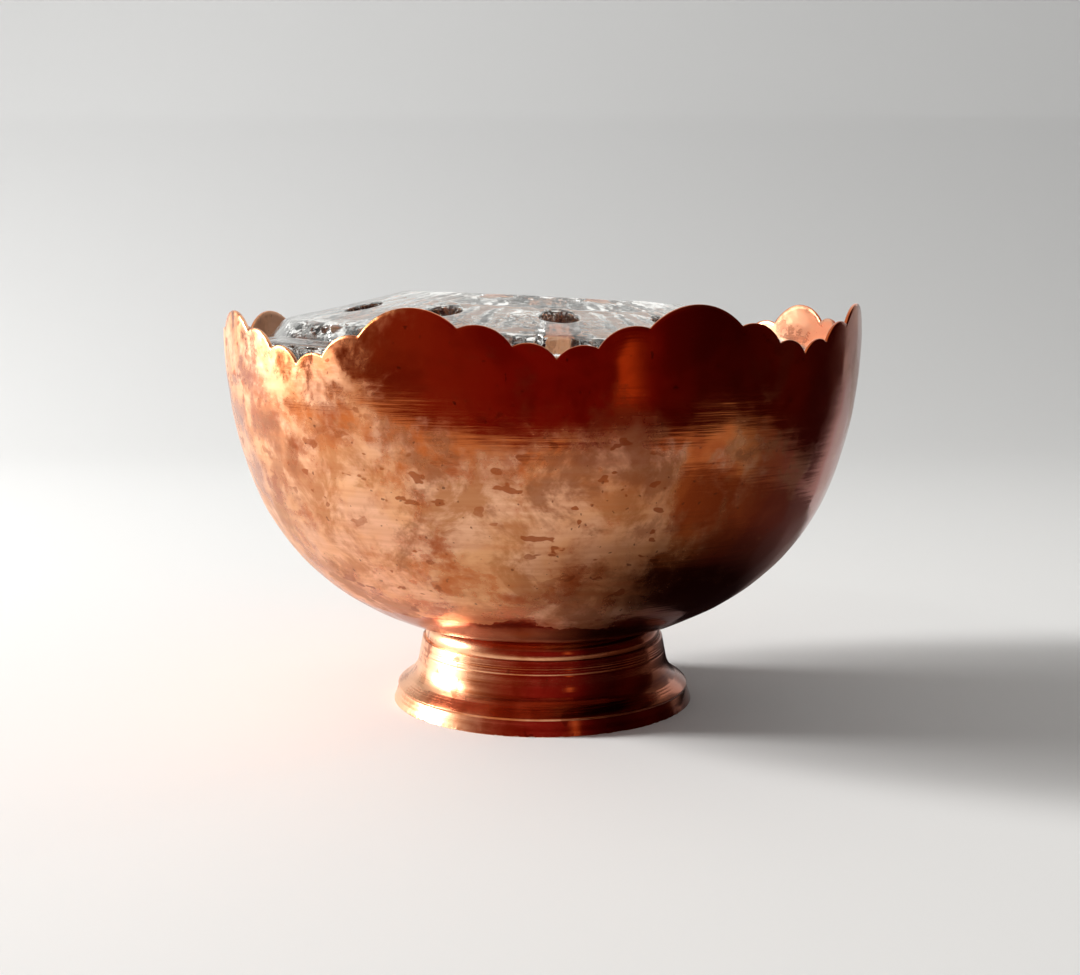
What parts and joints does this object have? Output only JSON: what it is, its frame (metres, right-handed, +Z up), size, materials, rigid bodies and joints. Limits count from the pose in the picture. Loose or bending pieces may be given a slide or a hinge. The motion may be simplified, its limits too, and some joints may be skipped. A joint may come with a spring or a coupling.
{
  "type": "footed rose bowl",
  "caption": "Round planished copper bowl with a scalloped rim on a hollow spun foot, holding a loose pressed-glass flower block with stem holes.",
  "frame": {"origin": "on the bowl's axis, at the centre of the ring that the foot stands on", "axes": "+Z up the bowl's axis; -Y is the front; the glass flower block lies lower towards +X"},
  "size_m": [0.16, 0.16, 0.1058],
  "materials": {
    "bowl_copper": "planished copper with a brown and salmon patina",
    "foot_copper": "spun copper with fine lines and a light patina",
    "solder": "dull soft solder",
    "clear_glass": "clear pressed glass"
  },
  "bodies": {
    "bowl": {"bowl_shell": "bowl_copper", "neck_collar": "foot_copper", "pedestal_foot": "foot_copper", "bowl_solder_fillet": "solder", "foot_solder_fillet": "solder"},
    "flower_block": {"glass_flower_block": "clear_glass"}
  },
  "joints": [
    {"name": "flower_block_lift", "type": "slide", "parent": "bowl", "child": "flower_block", "axis": [0, 0, 1], "range_m": [0, 0.06]}
  ]
}
